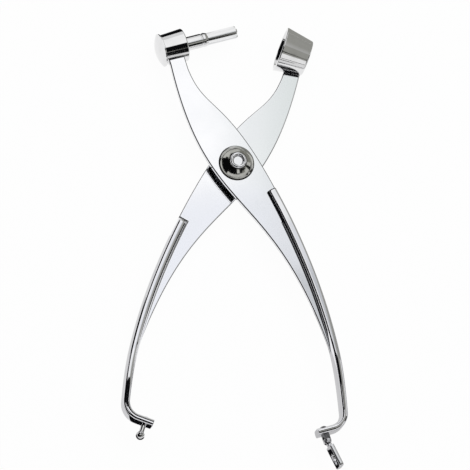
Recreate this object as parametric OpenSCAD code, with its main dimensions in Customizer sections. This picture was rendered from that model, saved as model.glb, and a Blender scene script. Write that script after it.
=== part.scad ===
// Cherry pitter: two crossed levers on one rivet. The front lever carries a plunger, the back
// lever a conical cup. Squeezing the handles drives the plunger through the cup.
// Millimetres. The tool lies on its back: X to the right, Y towards the heads, Z up.
// The origin is on the pivot axis, on the back face of the rivet. The handles are fully open.
// Both levers have one outline: the back one is the front one turned over about Y.

/* [Levers] */
// Thickness of each lever plate
plate_t = 2; // [1.6:0.1:2.4]
// Gap between the two plates, where the spring lies
plate_gap = 3; // [2.9:0.1:3.4]
// Width of a plate where it meets its head
neck_w = 6.2; // [5.4:0.1:7.2]
// Distance from the head line's middle to the outer edge of the neck
neck_reach = 13; // [12.6:0.1:13.3]
// Distance from the pivot to the inner edge of a lever
waist = 9.2; // [8.8:0.1:10]

/* [Handles] */
// Half the distance between the open handles, measured outside
handle_spread = 43.4; // [41:0.1:46]
// Distance from the pivot down to the bend of the foot
handle_drop = 95.5; // [90:0.1:102]
// Thickness of the grip rail at its top
rail_top_t = 3.8; // [3.2:0.1:4.2]
// Thickness of the grip rail at the foot
rail_foot_t = 2.7; // [2.2:0.1:3]
// Depth of the grip rail, front to back
rail_depth = 6.4; // [5.6:0.1:7]
// Rounding of the rail's front edges
rail_edge_r = 0.9; // [0.5:0.1:1]
// Outer radius of the bend above the foot
bend_r = 7.8; // [7:0.1:9]
// Straight length of the foot after the bend
foot_len = 6.3; // [5.6:0.1:6.3]

/* [Plunger] */
// Distance from the pivot to the line of the plunger
jaw_reach = 50.8; // [48:0.1:54]
// Slope of the plunger's line when the handles are open
head_angle = 17.5; // [16:0.1:19]
// Distance from the head line's middle to the plunger's face of the boss
boss_face = 4.6; // [4.3:0.1:5.4]
// Diameter of the boss at that face
boss_d = 12.8; // [12.4:0.1:13.6]
// Diameter of the boss at its cap
boss_end_d = 11.6; // [11.4:0.1:12.2]
// Length of the boss
boss_len = 9; // [8.8:0.1:9.8]
// Diameter of the cap
cap_d = 12.8; // [12.4:0.1:13.4]
// Height of the cap's dome
cap_h = 1.9; // [1.2:0.1:2.4]
// Diameter of the collar
collar_d = 5.4; // [5:0.1:6]
// Length of the collar
collar_len = 9.2; // [8.4:0.1:10]
// Diameter over the fins of the plunger
rod_d = 4.8; // [4.4:0.1:5]
// Thickness of a fin
fin_t = 1.4; // [1:0.1:1.8]
// Length of the finned rod
rod_len = 12; // [10:0.1:13]

/* [Cup] */
// Distance from the head line's middle to the cup's mouth
cup_face = 2.6; // [2.2:0.1:3.2]
// Outer diameter of the cup's mouth
mouth_d = 17.4; // [16.8:0.1:19]
// Outer diameter of the cup's small end
cup_end_d = 13.8; // [13.4:0.1:14.6]
// Length of the cup
cup_len = 11.1; // [10.8:0.1:12]
// Thickness of the cup's rim
rim_t = 1; // [0.8:0.1:1.4]
// Diameter of the hole that the stone leaves through
throat_d = 9.8; // [9:0.1:10.4]
// Length of that hole
throat_len = 3; // [2:0.1:4]

/* [Pivot] */
// Diameter of the rivet
rivet_d = 5; // [4.4:0.1:5.4]
// Diameter of the domed washers
washer_d = 13.8; // [13.4:0.1:15]
// Height of the domed washers
washer_h = 3.6; // [3.2:0.1:4]
// Height of the rivet's back head
head_h = 1.6; // [1.4:0.1:2.2]
// Wire of the return spring
wire_d = 0.8; // [0.7:0.05:0.8]
// Turns of the return spring
spring_turns = 1.5; // [1.25:0.05:1.5]

/* [Catch] */
// Diameter of the ball on the stud
ball_d = 3.4; // [3:0.1:3.6]
// Diameter of the stud's neck
neck_d = 2; // [1.6:0.1:2.1]
// Length of the neck, from the foot to the ball
neck_len = 3; // [2.8:0.1:3.6]
// Length of the catch from its pin to its tip
catch_len = 11.2; // [10.8:0.1:13]
// Thickness of the catch
catch_t = 1.8; // [1.4:0.1:2]
// Width of the catch
catch_w = 6; // [5.6:0.1:7]
// Direction in which the catch hangs when the handles are open
catch_angle = -63; // [-66:1:-56]

/* [Hidden] */
$fn = 64;
// Fits: radial play of a running pin, axial play at the pivot, slack of the spring's ends in their holes
run_fit = 0.05;
axial_play = 0.05;
tip_slack = 0.2;
// Cuts run past a face by this much
over = 1;

// Stack along Z, from the middle plane
face_in = plate_gap / 2;
face_out = face_in + plate_t;
plate_mid = (face_in + face_out) / 2;
mid_z = face_out + washer_h + head_h;

// Shared curve helpers
function dir(a) = [cos(a), sin(a)];
function turn(p) = atan2(p[1], p[0]);
function bez(p, t) = pow(1 - t, 3) * p[0] + 3 * pow(1 - t, 2) * t * p[1] + 3 * (1 - t) * t * t * p[2] + pow(t, 3) * p[3];
function slope(p, t) = pow(1 - t, 2) * (p[1] - p[0]) + 2 * (1 - t) * t * (p[2] - p[1]) + t * t * (p[3] - p[2]);
function mix(a, b, f) = a + (b - a) * f;
function ease(f) = f * f * (3 - 2 * f);
function clip(f) = min(1, max(0, f));

// Head line: s runs along the plunger, r is the distance from it towards the pivot
head_t = dir(head_angle);
head_n = dir(head_angle + 90);
function head_pt(s, r) = (jaw_reach - r) * head_n + s * head_t;

// Grip rail: outer line as one curve from the shoulder to the bend, then an arc and a straight foot
shoulder = [1.63 * waist, -0.98 * waist];
shoulder_a = -61.4;
bend_a = -85.3;
foot_a = -162;
bend_top = [handle_spread, -handle_drop];
grip_span = norm(bend_top - shoulder);
leave = 0.28;
arrive = 0.35;
grip = [shoulder, shoulder + leave * grip_span * dir(shoulder_a),
        bend_top - arrive * grip_span * dir(bend_a), bend_top];
bend_c = bend_top + bend_r * dir(bend_a - 90);
foot_top = bend_c + bend_r * dir(foot_a + 90);

// Where the rail's inner ridge starts, how long its end is, and where the plate runs out
ridge_t = 0.17;
ridge_end = 0.02;
plate_step = 14;
grip_steps = 20;
ridge_steps = 6;
bend_steps = 10;
ramp_t = 0.2;
lip = (rail_depth - plate_t) / 2;
lip_start = 0.8;
ridge_start = 0.15;
// Above the ridge the rail is only a lip on the plate; this is the length of the step between the two
step_t = 0.003;
// How far the lip leans out, how far its foot follows the rail back, and the roundings of the ridge's outer and inner edges, as shares of the thickness
lip_lean = 0.16;
lean_back = 0.8;
ridge_outer = 0.34;
ridge_inner = 0.5;

// Stations of the rail: position along the curve
grip_ts = concat([for (i = [0 : ridge_steps - 1]) ridge_t * i / ridge_steps], [ridge_t - step_t],
                 [for (i = [0 : ridge_steps - 1]) ridge_t + ridge_end * i / ridge_steps],
                 [for (i = [0 : grip_steps]) mix(ridge_t + ridge_end, 1, i / grip_steps)]);
plate_last = 2 * ridge_steps + 1 + plate_step;
plate_t_end = grip_ts[plate_last];
function rail_thick(t) = mix(rail_top_t, rail_foot_t, t * t);
function set_back(t) = plate_mid * ease(clip((t - plate_t_end) / (1 - plate_t_end)));
function lip_rise(t) = lip * mix(lip_start, 1, ease(clip(t / ramp_t)));
function ridge_round(q) = sqrt(1 - pow(1 - q, 2));
function ridge_drop(t) = mix(ridge_start, lip, ridge_round(clip((t - ridge_t) / ridge_end)));

// One station: outer point, direction of travel, thickness, top, bottom, height where the lip starts to lean
function rail_low(t) = t < ridge_t ? face_out : face_in - ridge_drop(t) - set_back(t);
function lean_from(t) = t < ridge_t ? face_out + 1.5 * ridge_start : face_out - lean_back * set_back(t);
function station(p, a, t) = [p, a, rail_thick(t), face_out + lip_rise(t) - set_back(t), rail_low(t), lean_from(t),
                             min(rail_edge_r, lip_rise(t) - 2 * ridge_start), ridge_drop(t)];
stations = concat([for (t = grip_ts) station(bez(grip, t), turn(slope(grip, t)), t)],
                  [for (i = [1 : bend_steps])
                      let (a = mix(bend_a, foot_a, i / bend_steps)) station(bend_c + bend_r * dir(a + 90), a, 1)],
                  [station(foot_top + foot_len * dir(foot_a), foot_a, 1)]);
function outer_pt(i) = stations[i][0];
function inner_pt(i) = stations[i][0] + stations[i][2] * dir(stations[i][1] - 90);

// Ring of a station: four rounded corners and the point where the lip starts to lean
corner_steps = 3;
function corner(c, r, a0) = [for (i = [0 : corner_steps]) c + r * dir(a0 + 90 * i / corner_steps)];
function section(b, top_b, hi, lo, lean, r_hi, r_out, r_in) = concat(
    corner([top_b - r_hi, hi - r_hi], r_hi, 0), corner([r_hi, hi - r_hi], r_hi, 90),
    corner([r_out, lo + r_out], r_out, 180), corner([b - r_in, lo + r_in], r_in, 270), [[b, lean]]);
function ring(s) = [for (q = section(s[2], s[2] * (1 - lip_lean), s[3], s[4], s[5], min(s[6], 0.4 * s[2]),
                                     min(s[7], ridge_outer * s[2]), min(s[7], ridge_inner * s[2])))
    let (p = s[0] + q[0] * dir(s[1] - 90)) [p[0], p[1], q[1]]];
ring_n = 4 * (corner_steps + 1) + 1;

// Plate outline: inner edge, rail line, outer edge and the tongue that goes into the head
neck_out = neck_reach;
neck_in = neck_out - neck_w;
neck_low = 7.5;
neck_deep = 10.2;
edge_steps = 28;
side_steps = 20;
inner_edge = [head_pt(-neck_out, neck_low), waist * [-1.18, -2.6], waist * [1.38, -0.74], inner_pt(plate_last)];
neck_a = -68.5;
side_leave = 0.36;
side_arrive = 0.81;
outer_edge = [head_pt(-neck_in, neck_deep), head_pt(-neck_in, neck_deep) + side_leave * jaw_reach * dir(neck_a),
              shoulder - side_arrive * jaw_reach * dir(shoulder_a), shoulder];
function plate_outline(tongue_out, tongue_in) = concat(
    [head_pt(-neck_out, tongue_out)],
    [for (i = [0 : edge_steps]) bez(inner_edge, i / edge_steps)],
    [for (i = [plate_last - 1 : -1 : ridge_steps]) inner_pt(i)],
    [for (i = [ridge_steps : -1 : 1]) outer_pt(i)],
    [for (i = [side_steps : -1 : 0]) bez(outer_edge, i / side_steps)],
    [head_pt(-neck_in, tongue_in)]);

// Boss and plunger sizes inside the head
boss_r = boss_d / 2;
boss_end_r = boss_end_d / 2;
boss_tongue = 1.2;
cap_rim = 0.5;
tail_r = 2;
nut_flats = 7;
nut_h = 2.4;
well_r = 4.2;
spigot_h = 1;
well_depth = nut_h + spigot_h;
boss_end = -boss_face - boss_len;
collar_end = -boss_face + collar_len;
tip_bevel = 0.5;
groove_w = 0.5;
groove_depth = 0.25;
collar_bevel = 0.9;

// Cup sizes: outer radius at a distance s along the head line
mouth_r = mouth_d / 2;
cup_r = cup_end_d / 2;
throat_r = throat_d / 2;
cup_end = -cup_face - cup_len;
cup_tongue = 1;
cup_edge = 0.6;
rim_lip = 0.5;
function cup_outer(s) = mix(mouth_r, cup_r, (-cup_face - s) / cup_len);

// Pivot sizes
rivet_r = rivet_d / 2;
washer_r = washer_d / 2;
washer_wall = 1;
ring_hole_r = 1.9;
ring_r = (rivet_r - ring_hole_r + 0.7) / 2;
ring_mid = ring_hole_r + ring_r;
land_r = ring_mid + ring_r + 0.2;
ring_hole_depth = 0.5;
head_r = 4.6;
head_face_r = 3.6;
bush_r = rivet_r + 1.1;

// Spring: one wire from a hole in the back plate, round the bush, to a hole in the front plate
wire_r = wire_d / 2;
coil_r = 4.7;
coil_gap = 0.15;
coil_half = face_in - coil_gap - wire_r;
spring_from = 200;
tip_bend = 0.7;
tip_depth = plate_t - 0.5;
coil_rings = 32;
tip_rings = 5;
wire_sides = 8;
function radial(a) = [cos(a), sin(a), 0];
function along(a) = [-sin(a), cos(a), 0];
up = [0, 0, 1];
spring_to = spring_from + 360 * spring_turns;
function coil_pt(a) = coil_r * radial(a) + up * mix(-coil_half, coil_half, (a - spring_from) / (spring_to - spring_from));
function tip_pt(a, side, b) = coil_pt(a) + side * tip_bend * (sin(b) * along(a) + (1 - cos(b)) * up);
function tip_way(a, b, side) = cos(b) * along(a) + side * sin(b) * side * up;
function tip_xy(a, side) = coil_r * radial(a) + side * tip_bend * along(a);
function tip_end(a, side) = tip_xy(a, side) + side * (face_in + tip_depth) * up;
spring_path = concat(
    [[tip_end(spring_from, -1), up, spring_from]],
    [for (i = [tip_rings : -1 : 1]) let (b = 90 * i / tip_rings)
        [tip_pt(spring_from, -1, b), tip_way(spring_from, b, 1), spring_from]],
    [for (i = [0 : coil_rings * spring_turns]) let (a = mix(spring_from, spring_to, i / (coil_rings * spring_turns)))
        [coil_pt(a), along(a), a]],
    [for (i = [1 : tip_rings]) let (b = 90 * i / tip_rings)
        [tip_pt(spring_to, 1, b), tip_way(spring_to, b, 1), spring_to]],
    [[tip_end(spring_to, 1), up, spring_to]]);
function wire_ring(s) = let (u = radial(s[2]), v = cross(s[1], u))
    [for (k = [0 : wire_sides - 1]) s[0] + wire_r * (cos(360 * k / wire_sides) * u + sin(360 * k / wire_sides) * v)];
spring_least = min([for (i = [0 : len(spring_path) - 1], j = [i + coil_rings / 2 : len(spring_path) - 1])
    norm(spring_path[i][0] - spring_path[j][0])]) - wire_d;

// Foot frame: where the stud or the bracket stands on the underside of the foot
stand = 3.2;
stand_pt = foot_top + stand * dir(foot_a);
out_a = foot_a + 90;
neck_r = neck_d / 2;
ball_r = ball_d / 2;
ball_at = neck_len + sqrt(ball_r * ball_r - neck_r * neck_r);
clinch_r = 1.7;
clinch_h = 0.6;

// Catch sizes
pin_r = 0.6;
pin_drop = 2.6;
prong_r = 1.1;
prong_t = 0.9;
bracket_w = 4;
bracket_t = 0.8;
tongue_gap = 0.25;
tongue_w = bracket_w - 2 * prong_t - 2 * tongue_gap;
knuckle_r = 1.45;
catch_wide = 2.1;
pin_pt = stand_pt + pin_drop * dir(out_a);
pin_head_r = 1;
pin_head_h = 0.4;
key_at = 7;
key_r = ball_r + 0.3;
slot_r = neck_r + 0.2;
slot_at = key_at + 1.7;

echo("Least gap of the return spring to itself, mm", spring_least);

// Frames
module front_frame() {
    translate([0, 0, mid_z]) children();
}

module back_frame() {
    translate([0, 0, mid_z]) rotate([0, 180, 0]) children();
}

module on_head() {
    translate([head_n[0] * jaw_reach, head_n[1] * jaw_reach, 0])
        rotate([0, 0, head_angle]) rotate([0, 90, 0]) children();
}

module on_foot() {
    translate([stand_pt[0], stand_pt[1], 0]) rotate([0, 0, out_a]) rotate([0, 90, 0]) children();
}

module on_pin() {
    translate([pin_pt[0], pin_pt[1], 0]) rotate([0, 0, catch_angle]) children();
}

// Bodies that run through many stations
module tube_of(rings, sides) {
    last = len(rings) - 1;
    points = [for (r = rings, p = r) p];
    walls = [for (i = [0 : last - 1], k = [0 : sides - 1]) let (m = (k + 1) % sides)
        each [[i * sides + k, (i + 1) * sides + k, (i + 1) * sides + m], [i * sides + k, (i + 1) * sides + m, i * sides + m]]];
    caps = [[for (k = [0 : sides - 1]) k], [for (k = [sides - 1 : -1 : 0]) last * sides + k]];
    polyhedron(points = points, faces = concat(walls, caps), convexity = 8);
}

module rail_blank() {
    difference() {
        tube_of([for (s = stations) ring(s)], ring_n);
        on_foot() translate([0, 0, -rail_foot_t - over]) cylinder(r = neck_r, h = rail_foot_t + 2 * over);
    }
}

// A rivet end through the foot, clinched on its inner side
module foot_rivet() {
    translate([0, 0, -rail_foot_t]) cylinder(r = neck_r, h = rail_foot_t);
    translate([0, 0, -rail_foot_t - clinch_h]) cylinder(r1 = clinch_r / 2, r2 = clinch_r, h = clinch_h);
}

module plate_blank(tongue_out, tongue_in) {
    translate([0, 0, face_in]) linear_extrude(height = plate_t) polygon(plate_outline(tongue_out, tongue_in));
}

module front_blank() {
    plate_blank(boss_end_r - boss_tongue, boss_end_r - boss_tongue);
}

module back_blank() {
    plate_blank(cup_outer(-neck_out) - cup_tongue, cup_outer(-neck_in) - cup_tongue);
}

module dome_washer() {
    dome_z = (land_r * land_r + washer_h * washer_h - washer_r * washer_r) / (2 * washer_h);
    dome_r = sqrt(washer_r * washer_r + dome_z * dome_z);
    difference() {
        translate([0, 0, dome_z]) sphere(r = dome_r);
        translate([0, 0, dome_z]) sphere(r = dome_r - washer_wall);
        translate([0, 0, -2 * dome_r]) cylinder(r = 2 * dome_r, h = 2 * dome_r);
        translate([0, 0, washer_h]) cylinder(r = dome_r, h = dome_r);
        translate([0, 0, -over]) cylinder(r = rivet_r, h = washer_h + 2 * over);
    }
}

// Nodes on the cup lever
module back_lever_plate() {
    color("gainsboro") back_frame() difference() {
        back_blank();
        translate([0, 0, face_in - over]) cylinder(r = rivet_r, h = plate_t + 2 * over);
        rotate([0, 180, 0]) translate(tip_xy(spring_from, -1) - up * (face_out + over))
            cylinder(r = wire_r + tip_slack, h = plate_t + 2 * over);
    }
}

module back_grip_rail() {
    color("silver") back_frame() rail_blank();
}

module cherry_cup() {
    color("darkgray") back_frame() difference() {
        on_head() rotate_extrude() polygon([[throat_r, cup_end], [cup_r - cup_edge, cup_end], [cup_r, cup_end + cup_edge],
            [mouth_r, -cup_face - rim_lip], [mouth_r - rim_lip / 2, -cup_face], [mouth_r - rim_t, -cup_face],
            [throat_r, cup_end + throat_len]]);
        back_blank();
    }
}

module ball_stud() {
    color("lightgray") back_frame() on_foot() {
        foot_rivet();
        cylinder(r = neck_r, h = ball_at);
        translate([0, 0, ball_at]) sphere(r = ball_r);
    }
}

// Nodes on the pivot
module pivot_rivet() {
    color("whitesmoke") front_frame() {
        top = face_out + axial_play + washer_h;
        difference() {
            union() {
                translate([0, 0, -face_out - washer_h]) cylinder(r = rivet_r, h = face_out + washer_h + top);
                translate([0, 0, -mid_z]) cylinder(r1 = head_face_r, r2 = head_r, h = head_h);
                translate([0, 0, top]) difference() {
                    rotate_extrude() translate([ring_mid, 0]) circle(r = ring_r);
                    translate([0, 0, -2 * ring_r]) cylinder(r = land_r, h = 2 * ring_r);
                }
            }
            translate([0, 0, top - ring_hole_depth]) cylinder(r = ring_hole_r, h = ring_hole_depth + over);
        }
    }
}

module pivot_bush() {
    color("goldenrod") front_frame() difference() {
        translate([0, 0, -face_in]) cylinder(r = bush_r, h = plate_gap - axial_play);
        translate([0, 0, -face_in - over]) cylinder(r = rivet_r, h = plate_gap + 2 * over);
    }
}

module back_dome_washer() {
    color("gray") back_frame() translate([0, 0, face_out]) dome_washer();
}

module front_dome_washer() {
    color("gray") front_frame() translate([0, 0, face_out + axial_play]) dome_washer();
}

module return_spring() {
    color("slategray") front_frame() tube_of([for (s = spring_path) wire_ring(s)], wire_sides);
}

// Nodes on the plunger lever
module front_lever_plate() {
    color("gainsboro") front_frame() difference() {
        front_blank();
        translate([0, 0, face_in - over]) cylinder(r = rivet_r + run_fit, h = plate_t + 2 * over);
        translate(tip_xy(spring_to, 1) + up * (face_in - over)) cylinder(r = wire_r + tip_slack, h = plate_t + 2 * over);
    }
}

module front_grip_rail() {
    color("silver") front_frame() rail_blank();
}

module plunger_boss() {
    color("lightgray") front_frame() difference() {
        on_head() difference() {
            translate([0, 0, boss_end]) cylinder(r1 = boss_end_r, r2 = boss_r, h = boss_len);
            translate([0, 0, boss_end - over]) cylinder(r = tail_r, h = boss_len + 2 * over);
            translate([0, 0, boss_end - over]) cylinder(r = well_r, h = well_depth + over);
        }
        front_blank();
    }
}

module boss_cap() {
    rim_r = cap_d / 2;
    cap_r = (rim_r * rim_r + cap_h * cap_h) / (2 * cap_h);
    color("whitesmoke") front_frame() on_head() translate([0, 0, boss_end]) {
        translate([0, 0, -cap_rim]) difference() {
            translate([0, 0, cap_r - cap_h]) sphere(r = cap_r);
            cylinder(r = 2 * cap_r, h = 2 * cap_r);
        }
        translate([0, 0, -cap_rim]) cylinder(r = rim_r, h = cap_rim);
        cylinder(r = well_r, h = spigot_h);
    }
}

module plunger_nut() {
    color("gray") front_frame() on_head() translate([0, 0, boss_end + spigot_h]) difference() {
        cylinder(r = nut_flats / 2 / cos(30), h = nut_h, $fn = 6);
        translate([0, 0, -over]) cylinder(r = tail_r, h = nut_h + 2 * over);
    }
}

module plunger_collar() {
    color("lightgray") front_frame() on_head() translate([0, 0, -boss_face]) difference() {
        union() {
            cylinder(r = collar_d / 2, h = collar_len - collar_bevel);
            translate([0, 0, collar_len - collar_bevel])
                cylinder(r1 = collar_d / 2, r2 = rod_d / 2, h = collar_bevel);
        }
        translate([0, 0, -over]) cylinder(r = tail_r, h = collar_len + 2 * over);
        translate([0, 0, collar_len - collar_bevel - 3 * groove_w]) difference() {
            cylinder(r = collar_d, h = groove_w);
            translate([0, 0, -over]) cylinder(r = collar_d / 2 - groove_depth, h = groove_w + 2 * over);
        }
    }
}

module plunger_rod() {
    color("silver") front_frame() on_head() {
        translate([0, 0, boss_end + spigot_h]) cylinder(r = tail_r, h = boss_len - spigot_h + collar_len);
        translate([0, 0, collar_end]) intersection() {
            union() {
                translate([-rod_d, -fin_t / 2, 0]) cube([2 * rod_d, fin_t, rod_len]);
                translate([-fin_t / 2, -rod_d, 0]) cube([fin_t, 2 * rod_d, rod_len]);
            }
            union() {
                cylinder(r = rod_d / 2, h = rod_len - tip_bevel);
                translate([0, 0, rod_len - tip_bevel])
                    cylinder(r1 = rod_d / 2, r2 = rod_d / 2 - tip_bevel, h = tip_bevel);
            }
        }
    }
}

module catch_bracket() {
    color("dimgray") front_frame() on_foot() difference() {
        union() {
            foot_rivet();
            translate([-bracket_w / 2, -prong_r, 0]) cube([bracket_w, 2 * prong_r, bracket_t]);
            for (side = [-1, 1]) translate([side * (bracket_w - prong_t) / 2, 0, 0]) {
                translate([-prong_t / 2, -prong_r, 0]) cube([prong_t, 2 * prong_r, pin_drop]);
                translate([-prong_t / 2, 0, pin_drop]) rotate([0, 90, 0]) cylinder(r = prong_r, h = prong_t);
            }
        }
        translate([-bracket_w, 0, pin_drop]) rotate([0, 90, 0]) cylinder(r = pin_r, h = 2 * bracket_w);
    }
}

module catch_pin() {
    color("gray") front_frame() on_pin() {
        translate([0, 0, -bracket_w / 2]) cylinder(r = pin_r, h = bracket_w);
        for (side = [0, 1]) mirror([0, 0, side]) translate([0, 0, bracket_w / 2])
            cylinder(r1 = pin_head_r, r2 = pin_r, h = pin_head_h);
    }
}

module catch() {
    color("silver") front_frame() on_pin() difference() {
        union() {
            translate([0, 0, -tongue_w / 2]) cylinder(r = knuckle_r, h = tongue_w);
            translate([0, -catch_t / 2, -tongue_w / 2]) cube([catch_wide + over, catch_t, tongue_w]);
            translate([catch_wide, -catch_t / 2, -catch_w / 2]) cube([catch_len - catch_wide, catch_t, catch_w]);
        }
        translate([0, 0, -tongue_w]) cylinder(r = pin_r + run_fit, h = 2 * tongue_w);
        translate([key_at, 0, 0]) rotate([90, 0, 0]) cylinder(r = key_r, h = 2 * catch_t, center = true);
        translate([slot_at, 0, 0]) rotate([90, 0, 0]) cylinder(r = slot_r, h = 2 * catch_t, center = true);
        translate([key_at, -catch_t, -slot_r]) cube([slot_at - key_at, 2 * catch_t, 2 * slot_r]);
    }
}

back_lever_plate();
back_grip_rail();
cherry_cup();
ball_stud();
pivot_rivet();
pivot_bush();
back_dome_washer();
front_dome_washer();
return_spring();
front_lever_plate();
front_grip_rail();
plunger_boss();
boss_cap();
plunger_nut();
plunger_collar();
plunger_rod();
catch_bracket();
catch_pin();
catch();
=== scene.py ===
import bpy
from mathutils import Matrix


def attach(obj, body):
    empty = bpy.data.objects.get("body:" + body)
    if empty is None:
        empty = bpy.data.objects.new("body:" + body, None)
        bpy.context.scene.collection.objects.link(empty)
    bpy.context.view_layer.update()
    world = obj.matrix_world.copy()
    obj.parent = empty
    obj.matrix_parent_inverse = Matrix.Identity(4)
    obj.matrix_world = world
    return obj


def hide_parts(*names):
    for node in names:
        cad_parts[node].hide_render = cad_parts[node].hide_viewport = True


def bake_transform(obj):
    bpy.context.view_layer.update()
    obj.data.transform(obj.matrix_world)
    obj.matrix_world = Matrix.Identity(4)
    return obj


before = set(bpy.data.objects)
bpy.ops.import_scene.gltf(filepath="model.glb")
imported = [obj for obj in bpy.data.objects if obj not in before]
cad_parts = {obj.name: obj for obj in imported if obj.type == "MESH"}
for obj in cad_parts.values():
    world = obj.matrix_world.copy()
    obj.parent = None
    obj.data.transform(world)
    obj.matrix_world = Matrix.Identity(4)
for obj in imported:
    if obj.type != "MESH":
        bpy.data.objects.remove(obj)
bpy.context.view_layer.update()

import math

import bmesh
import bpy
import numpy as np
from mathutils import Matrix, Vector
from mathutils.geometry import tessellate_polygon

bl_info = {
    "name": "Cherry Pitter Dressing",
    "version": (1, 0, 0),
    "blender": (4, 5, 0),
    "location": "View3D > Sidebar > Pitter",
    "description": "Dresses the packed cherry pitter in rounded, plated metal and sets its studio",
    "category": "Object",
}

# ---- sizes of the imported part, in millimetres
MM = 0.001
PLATE_T, PLATE_GAP, NECK_W, NECK_OUT, WAIST = 2.0, 3.0, 6.2, 13.0, 9.2
HANDLE_SPREAD, HANDLE_DROP = 43.4, 95.5
RAIL_TOP_T, RAIL_FOOT_T, RAIL_DEPTH, RAIL_EDGE_R = 3.8, 2.7, 6.4, 0.9
BEND_R, FOOT_LEN = 7.8, 6.3
JAW_REACH, HEAD_ANGLE = 50.8, 17.5
BOSS_FACE, BOSS_D, BOSS_END_D, BOSS_LEN = 4.6, 12.8, 11.6, 9.0
CAP_D, CAP_H, CAP_RIM = 12.8, 1.9, 0.5
COLLAR_D, COLLAR_LEN, ROD_D, FIN_T, ROD_LEN = 5.4, 9.2, 4.8, 1.4, 12.0
CUP_FACE, MOUTH_D, CUP_END_D, CUP_LEN, RIM_T, THROAT_D, THROAT_LEN = 2.6, 17.4, 13.8, 11.1, 1.0, 9.8, 3.0
RIVET_D, WASHER_D, WASHER_H, HEAD_H = 5.0, 13.8, 3.6, 1.6
WIRE_D, SPRING_TURNS, COIL_R, SPRING_FROM = 0.8, 1.5, 4.7, 200.0
BALL_D, NECK_D, NECK_LEN = 3.4, 2.0, 3.0
CATCH_LEN, CATCH_T, CATCH_W, CATCH_ANGLE = 11.2, 1.8, 6.0, -63.0
RUN_FIT, AXIAL_PLAY = 0.05, 0.05

FACE_IN = PLATE_GAP / 2
FACE_OUT = FACE_IN + PLATE_T
PLATE_MID = (FACE_IN + FACE_OUT) / 2
MID_Z = FACE_OUT + WASHER_H + HEAD_H
SHOULDER, SHOULDER_A = np.array([1.63 * WAIST, -0.98 * WAIST]), -61.4
BEND_A, FOOT_A = -85.3, -162.0
# Shares that draw the curves: at both ends of the grip and of the outer edge, and the inner edge's middle points
GRIP_PULL, OUTER_PULL, INNER_PULL = (0.28, 0.35), (0.36, 0.81), np.array([[-1.18, -2.6], [1.38, -0.74]])
RIDGE_T, RIDGE_END, RAMP_T, LIP_START, RIDGE_START, STEP_T = 0.17, 0.02, 0.2, 0.8, 0.15, 0.003
LIP_LEAN, RIDGE_OUTER, RIDGE_INNER = 0.16, 0.34, 0.5
LIP = (RAIL_DEPTH - PLATE_T) / 2
PLATE_STEP, GRIP_STEPS = 14, 20
NECK_IN = NECK_OUT - NECK_W
NECK_LOW, NECK_DEEP, NECK_A = 7.5, 10.2, -68.5
# How deep the head's tongue is sunk into the boss and into the cup's wall
BOSS_SINK, CUP_SINK = 0.6, 0.9
TAIL_R, WELL_R, SPIGOT_H, NUT_H = 2.0, 4.2, 1.0, 2.4
BOSS_END, CUP_END = -BOSS_FACE - BOSS_LEN, -CUP_FACE - CUP_LEN
COLLAR_END = -BOSS_FACE + COLLAR_LEN
CHAMFER, GROOVE_DROP, GROOVE_W, GROOVE_DEPTH = 0.9, 1.5, 0.5, 0.25
RING_HOLE_R, RING_HOLE_DEPTH, HEAD_R, HEAD_FACE_R = 1.9, 0.5, 4.6, 3.6
# The rolled ring reaches past the rivet's shank, and the washer's land past the ring
RING_PAST, LAND_PAST, DOME_WALL = 0.7, 0.2, 1.0
RING_R = (RIVET_D / 2 - RING_HOLE_R + RING_PAST) / 2
# Spring: where its coil ends, its gap to the plates, the bend of its ends, and how they stand in the plates' holes
SPRING_TO, SPRING_CLEAR, TIP_BEND, TIP_SHORT, TIP_FIT = SPRING_FROM + 360 * SPRING_TURNS, 0.15, 0.7, 0.5, 0.2
SPRING_HALF = FACE_IN - SPRING_CLEAR - WIRE_D / 2
STAND, PIN_DROP, CLINCH_R, CLINCH_H = 3.2, 2.6, 1.7, 0.6
PIN_R, PIN_HEAD_R, PIN_HEAD_H, BRACKET_W, KNUCKLE_R = 0.6, 1.0, 0.4, 4.0, 1.45
EAR_T, EAR_GAP, CATCH_WIDE, KEY_AT, SLOT_AT, KEY_FIT, SLOT_FIT = 0.9, 0.25, 2.1, 7.0, 8.7, 0.3, 0.2
TONGUE_W = BRACKET_W - 2 * EAR_T - 2 * EAR_GAP
KEY_R, SLOT_R = BALL_D / 2 + KEY_FIT, NECK_D / 2 + SLOT_FIT

# ---- what the scene adds: millimetres, shares and degrees
# Rounder outer top edge towards the rail's foot: radius as a share of thickness, and where it starts and is full
CROWN_R, CROWN_FROM, CROWN_TO = 0.5, 0.4, 0.8
# Upper end of the rail: how far along its curve it is rounded, and by how much across and in height. The share of the
# ridge's start that takes painted shade, as the rounded end does, and its rounding
END_T, END_ACROSS, END_DOWN, RIDGE_MARK, RIDGE_ROUND = 0.008, 0.8, 0.5, 0.45, 0.9
# The painted shade fades over this share of the ridge's start, and over these degrees of the rounded end's quarter turn
RIDGE_FADE, END_BRIGHT, END_FADE = 0.1, 8, 12
# A point of the rail lower than this is on the ridge and not on the lip
RIDGE_BELOW = FACE_IN + 0.01
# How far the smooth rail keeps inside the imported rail, whose bend is drawn with flat steps
SKIN = 0.02
# Bevel at the foot's end, and about half of the foot's width, which turns the bevel into a share
FOOT_BEVEL, FOOT_HALF = 0.26, 1.1
# Heights round the middle of a plate's wall between which it keeps its bright colour: a painted highlight
PAINTED_WALL_HIGHLIGHT = np.array([0.52, 0.44, -0.44, -0.52])
# How fast painted shade grows down the front and the back plate's rounded edge, and the first share that stays bright
FRONT_ONSET, BACK_ONSET, ONSET_FROM = 20, 3, 0.1
# The plates' rounding grows over this length from their thin end beside the rail, from this share
TAPER_LEN, TAPER_LEAST = 14, 0.02
# Height at which painted shade on the dome washers starts, the drop to full dark, and the rounding of the catch
PAINTED_SHADE_TOP, PAINTED_SHADE_FADE, CATCH_EDGE = 1.0, 0.4, 0.25
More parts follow.
